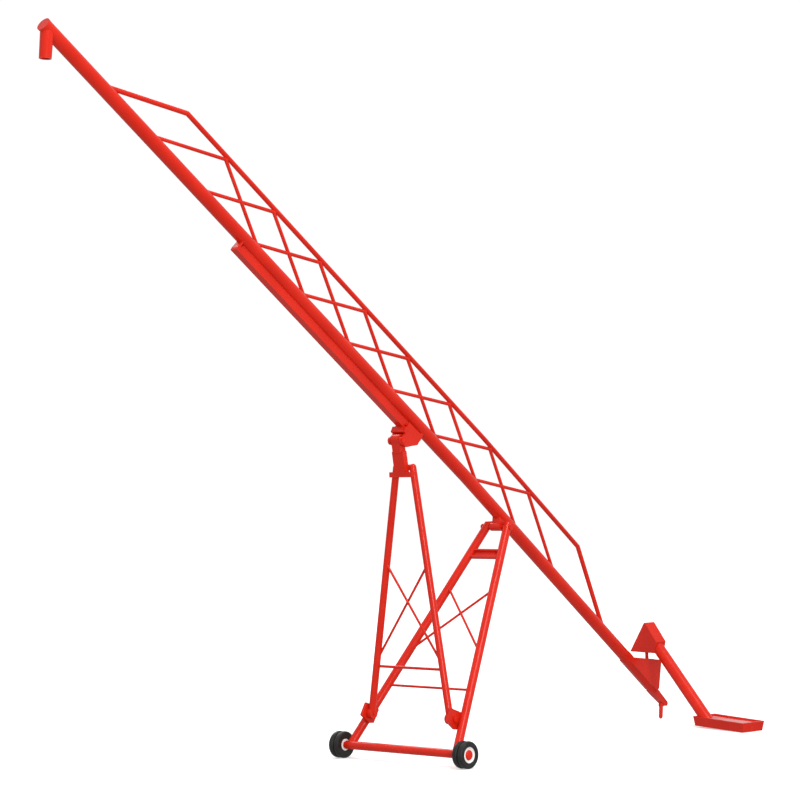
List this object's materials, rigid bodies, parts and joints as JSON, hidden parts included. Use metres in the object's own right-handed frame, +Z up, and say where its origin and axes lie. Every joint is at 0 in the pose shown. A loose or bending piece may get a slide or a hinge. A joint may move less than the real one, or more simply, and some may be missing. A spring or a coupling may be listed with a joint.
{
  "type": "scale model grain auger",
  "caption": "Scale model of a portable grain auger: long inclined tube with a truss, two-wheel undercarriage, sliding lift frame and swing-away intake hopper.",
  "frame": {"origin": "centre of the model's footprint, on the ground it stands on", "axes": "+X along the auger towards its intake end, +Y to its left-hand wheel, +Z up"},
  "size_m": [0.3672, 0.1058, 0.2938],
  "materials": {
    "red_plastic": "satin gloss",
    "black_tyre": "matte",
    "white_rim": "satin",
    "steel_pin": "painted steel, satin gloss"
  },
  "bodies": {
    "undercarriage": {"axle_tube": "red_plastic", "axle_pin": "steel_pin", "lower_arm_left": "red_plastic", "lower_arm_right": "red_plastic", "lower_crossbar": "red_plastic", "lower_tie_rod": "red_plastic", "lower_cross_rods": "red_plastic", "lift_bracket_left": "red_plastic", "lift_bracket_right": "red_plastic", "lift_foot_pin_left": "red_plastic", "lift_foot_pin_right": "red_plastic", "tube_pivot_pin": "steel_pin"},
    "wheel_left": {"wheel_left_tyre": "black_tyre", "wheel_left_rim": "white_rim", "wheel_left_hub": "red_plastic"},
    "wheel_right": {"wheel_right_tyre": "black_tyre", "wheel_right_rim": "white_rim", "wheel_right_hub": "red_plastic"},
    "auger": {"main_tube": "red_plastic", "discharge_end_cap": "red_plastic", "discharge_spout": "red_plastic", "truss_chord": "red_plastic", "truss_end_strut_upper": "red_plastic", "truss_end_strut_lower": "red_plastic", "truss_rising_braces": "red_plastic", "truss_falling_braces": "red_plastic", "lift_track": "red_plastic", "track_stop_upper": "red_plastic", "track_stop_lower": "red_plastic", "pivot_saddle": "red_plastic", "intake_boot": "red_plastic", "hitch_drop_leg": "red_plastic", "swing_post": "red_plastic"},
    "lift_frame": {"lift_leg_left": "red_plastic", "lift_leg_right": "red_plastic", "lift_head": "red_plastic", "lift_tie_rod": "red_plastic", "lift_cross_rods": "red_plastic"},
    "shoe": {"track_shoe": "red_plastic", "shoe_pin": "red_plastic"},
    "swing_hopper": {"swing_hood": "red_plastic", "swing_tube": "red_plastic", "hopper_tray": "red_plastic"}
  },
  "joints": [
    {"name": "left_wheel_spin", "type": "hinge", "parent": "undercarriage", "child": "wheel_left", "pos_m": [0.00052, 0.05019, 0.00567], "axis": [0, 1, 0], "continuous": true},
    {"name": "right_wheel_spin", "type": "hinge", "parent": "undercarriage", "child": "wheel_right", "pos_m": [0.00052, -0.01951, 0.00567], "axis": [0, 1, 0], "continuous": true},
    {"name": "tube_tilt", "type": "hinge", "parent": "undercarriage", "child": "auger", "pos_m": [0.06562, 0.01534, 0.09527], "axis": [0, 1, 0], "range_deg": [-20, 0]},
    {"name": "lift_fold", "type": "hinge", "parent": "undercarriage", "child": "lift_frame", "pos_m": [0.00626, 0.01534, 0.01907], "axis": [0, 1, 0], "range_deg": [-25.1, 0.5]},
    {"name": "shoe_slide", "type": "slide", "parent": "auger", "child": "shoe", "axis": [0.7948, 0, -0.6068], "range_m": [-0.04078, 0.0005]},
    {"name": "hopper_swing", "type": "hinge", "parent": "auger", "child": "swing_hopper", "pos_m": [0.17032, 0.01534, 0.03367], "axis": [0, 0, 1], "range_deg": [0, 200]}
  ],
  "couplings": [
    {"joint": "lift_fold", "follows": "tube_tilt", "ratio": 1.2297},
    {"joint": "shoe_slide", "follows": "tube_tilt", "m_per_rad": 0.11453}
  ]
}
